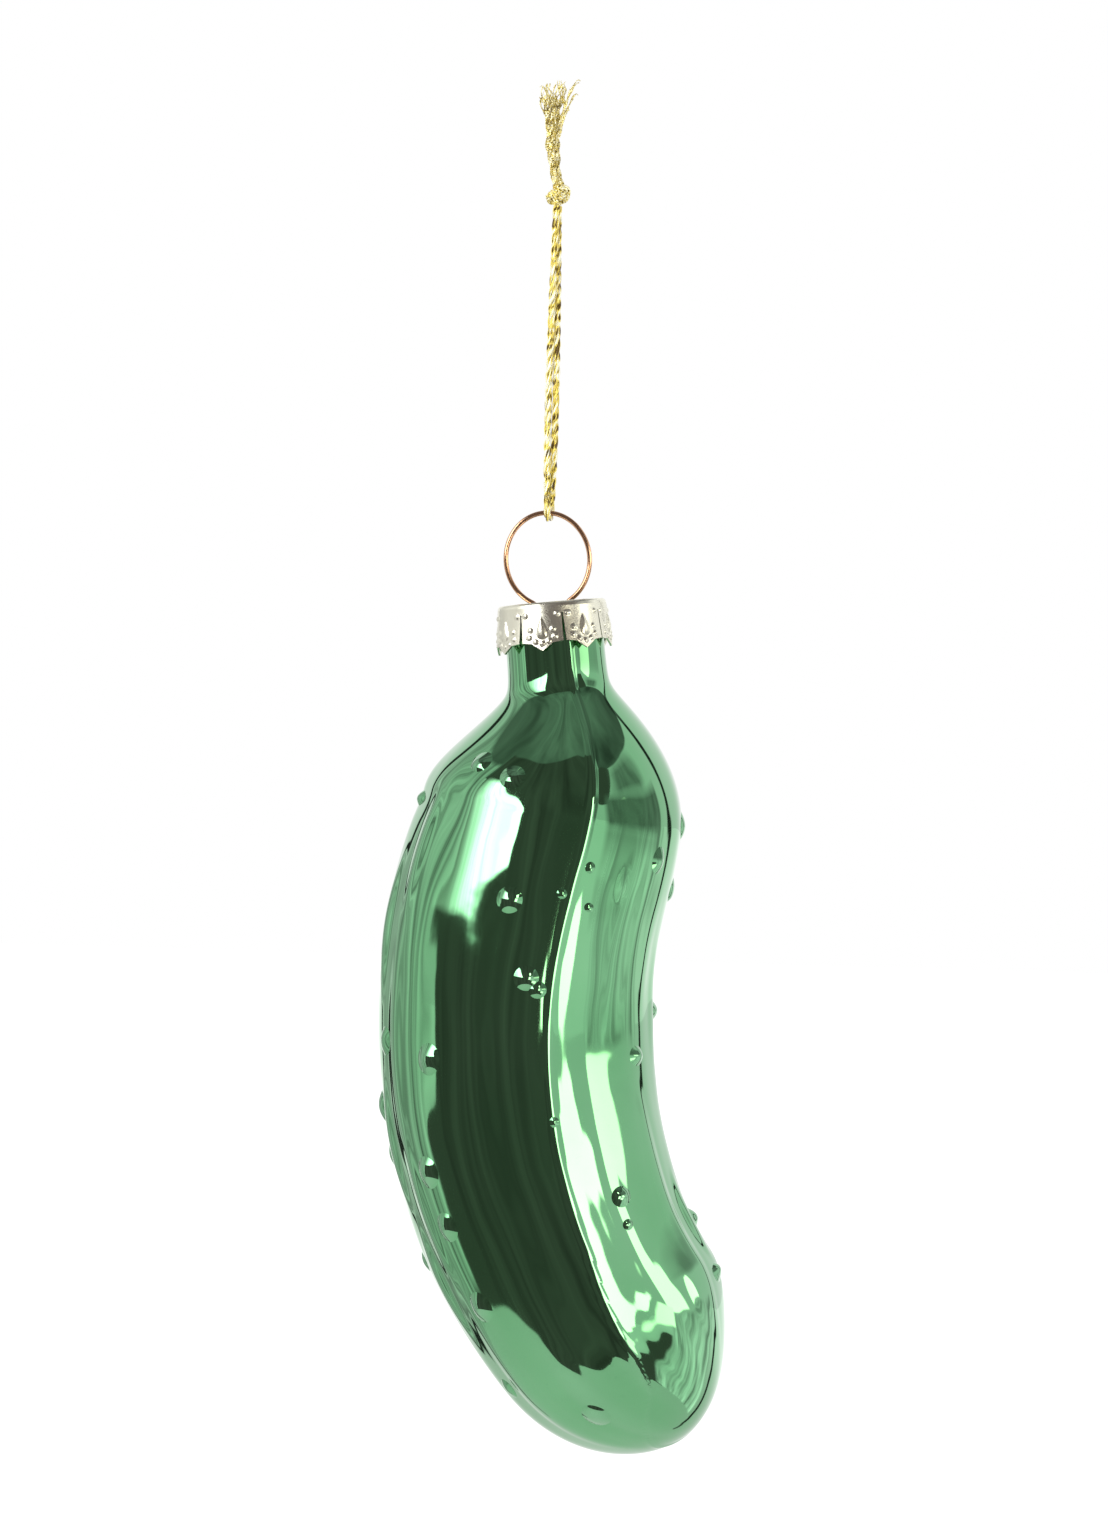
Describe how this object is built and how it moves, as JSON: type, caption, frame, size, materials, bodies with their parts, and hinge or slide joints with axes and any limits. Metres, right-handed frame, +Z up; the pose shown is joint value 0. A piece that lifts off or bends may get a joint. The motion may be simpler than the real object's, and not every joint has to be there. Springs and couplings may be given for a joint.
{
  "type": "pickle ornament",
  "caption": "Curved, warted blown-glass pickle with a slit stamped cap, a spring-legged wire hanger in its neck and a knotted gold cord loop to hang it by",
  "frame": {"origin": "Top of the cord's loop, just under the knot, where a hook or twig takes the weight", "axes": "+Z runs up the taut cord, the front faces -Y, and the pickle bends in the XZ plane with its lower end towards +X"},
  "size_m": [0.043, 0.034, 0.1674],
  "materials": {
    "green_silvered_glass": "polished",
    "stamped_cap": "polished",
    "copper_wire": "polished",
    "gold_cord": "satin"
  },
  "bodies": {
    "cord": {"cord_loop": "gold_cord", "cord_knot": "gold_cord", "cord_tail_front": "gold_cord", "cord_tail_back": "gold_cord"},
    "hanger": {"hanger_wire": "copper_wire"},
    "cap": {"cap": "stamped_cap"},
    "glass": {"glass_body": "green_silvered_glass"}
  },
  "joints": [
    {"name": "ornament_swing", "type": "hinge", "parent": "cord", "child": "hanger", "pos_m": [0, 0, -0.0374], "axis": [1, 0, 0], "range_deg": [-120, 120]},
    {"name": "hanger_slide", "type": "slide", "parent": "hanger", "child": "cap", "axis": [0.1132, 0, -0.9936], "range_m": [0, 0.0025]},
    {"name": "glass_pull", "type": "slide", "parent": "cap", "child": "glass", "axis": [0.1132, 0, -0.9936], "range_m": [0, 0.022]}
  ]
}
